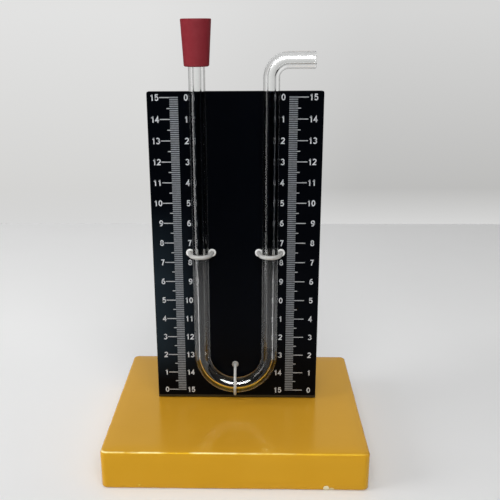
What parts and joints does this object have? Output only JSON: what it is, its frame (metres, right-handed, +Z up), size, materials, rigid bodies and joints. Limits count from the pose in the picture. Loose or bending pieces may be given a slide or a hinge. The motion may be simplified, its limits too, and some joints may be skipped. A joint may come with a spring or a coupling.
{
  "type": "glass manometer",
  "caption": "U-shaped glass manometer tube tied to an upright black scale board on a yellow block base, with a rubber stopper on one limb and a hose arm on the other.",
  "frame": {"origin": "middle of the underside of the base", "axes": "+Z up along the limbs, +Y towards the back of the board, +X towards the hose arm"},
  "size_m": [0.1244, 0.1024, 0.2092],
  "materials": {
    "base_paint": "gloss yellow enamel on a wooden block",
    "board_paint": "satin black paint on bent sheet",
    "film": "glossy black printed film with white graduations",
    "tube_glass": "clear, thick wall",
    "stopper_rubber": "matt red rubber",
    "eyelet_white": "white enamel",
    "tie_white": "ivory plastic-covered wire",
    "screw_steel": "zinc plated",
    "washer_steel": "zinc plated"
  },
  "bodies": {
    "stand": {"base": "base_paint", "back_board": "board_paint", "scale_film": "film", "u_tube": "tube_glass", "eyelet_left_outer": "eyelet_white", "eyelet_left_inner": "eyelet_white", "eyelet_right_inner": "eyelet_white", "eyelet_right_outer": "eyelet_white", "eyelet_bottom": "eyelet_white", "tie_left": "tie_white", "tie_right": "tie_white", "tie_bottom": "tie_white", "flange_screw_left": "screw_steel", "flange_screw_mid": "screw_steel", "flange_screw_right": "screw_steel", "flange_washer_left": "washer_steel", "flange_washer_mid": "washer_steel", "flange_washer_right": "washer_steel"},
    "stopper": {"stopper": "stopper_rubber"}
  },
  "joints": [
    {"name": "stopper_pull", "type": "slide", "parent": "stand", "child": "stopper", "axis": [0, 0, 1], "range_m": [0, 0.025]}
  ]
}
